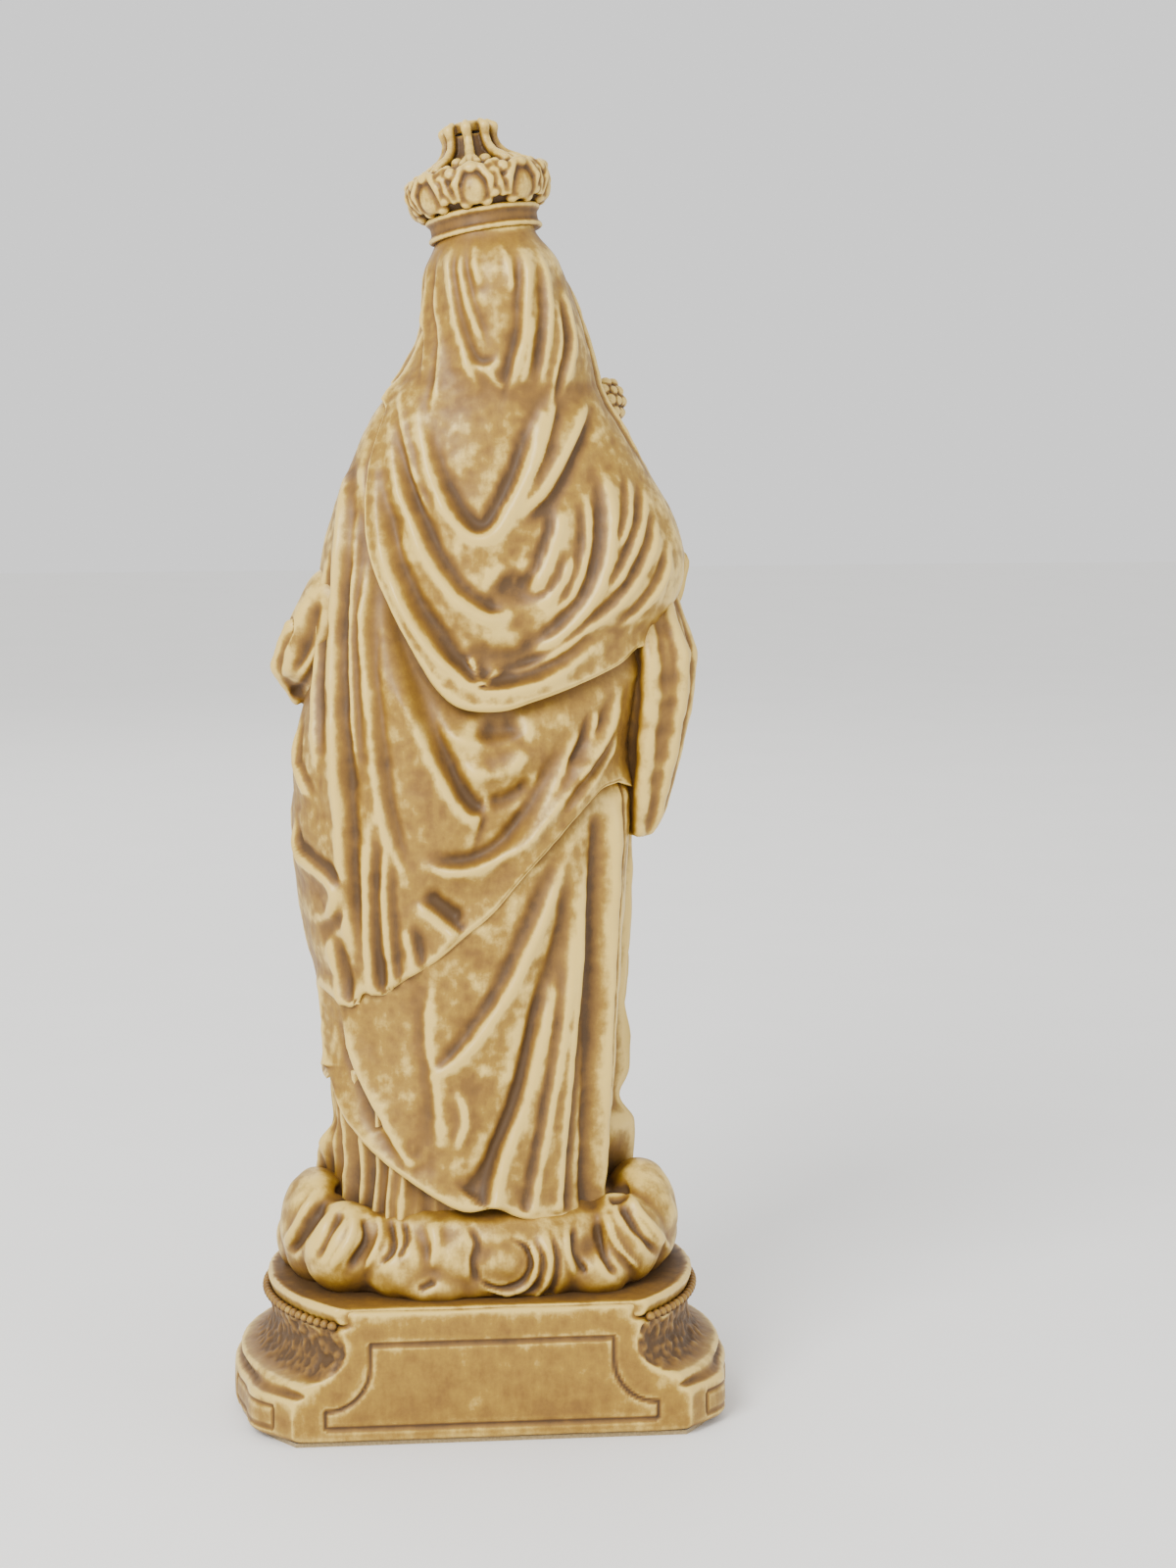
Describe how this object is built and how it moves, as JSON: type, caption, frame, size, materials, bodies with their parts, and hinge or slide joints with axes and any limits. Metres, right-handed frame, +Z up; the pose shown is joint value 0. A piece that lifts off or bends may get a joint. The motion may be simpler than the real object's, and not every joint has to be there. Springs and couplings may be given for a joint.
{
  "type": "madonna and child statue",
  "caption": "Crowned, veiled mother in a layered mantle holding a child on her right arm, on a cloud bank over a round flat-backed plinth; cast, antiqued cream finish",
  "frame": {"origin": "on the floor, in the middle of the round plinth's underside", "axes": "+Z up; the figure faces -Y; the flat back of the plinth faces +Y; the figure's own right side, with the child, is at -X"},
  "size_m": [0.1694, 0.1367, 0.4304],
  "materials": {
    "cast_stone": "cast marble-dust composite, satin wax over an ochre and brown antique patina that lies in the hollows",
    "steel": "zinc-plated threaded rod, nut and washer",
    "beech": "plain beech dowel",
    "felt": "green wool felt"
  },
  "bodies": {
    "root": {"plinth": "cast_stone", "platform": "cast_stone", "bead_moulding": "cast_stone", "cloud_bank": "cast_stone", "gown": "cast_stone", "shoe_right": "cast_stone", "shoe_left": "cast_stone", "mantle_train": "cast_stone", "mantle_apron": "cast_stone", "mantle_cape": "cast_stone", "hood": "cast_stone", "arm_fall": "cast_stone", "head": "cast_stone", "sleeve_left": "cast_stone", "hand_left": "cast_stone", "sleeve_right": "cast_stone", "hand_right": "cast_stone", "child_body": "cast_stone", "child_arm_left": "cast_stone", "child_arm_right": "cast_stone", "child_head": "cast_stone", "crown_band": "cast_stone", "crown_wreath": "cast_stone", "crown_cap": "cast_stone", "crown_collar": "cast_stone", "rod": "steel", "rod_washer": "steel", "rod_nut": "steel", "head_dowel": "beech", "crown_dowel": "beech", "felt_pad": "felt"}
  },
  "joints": []
}
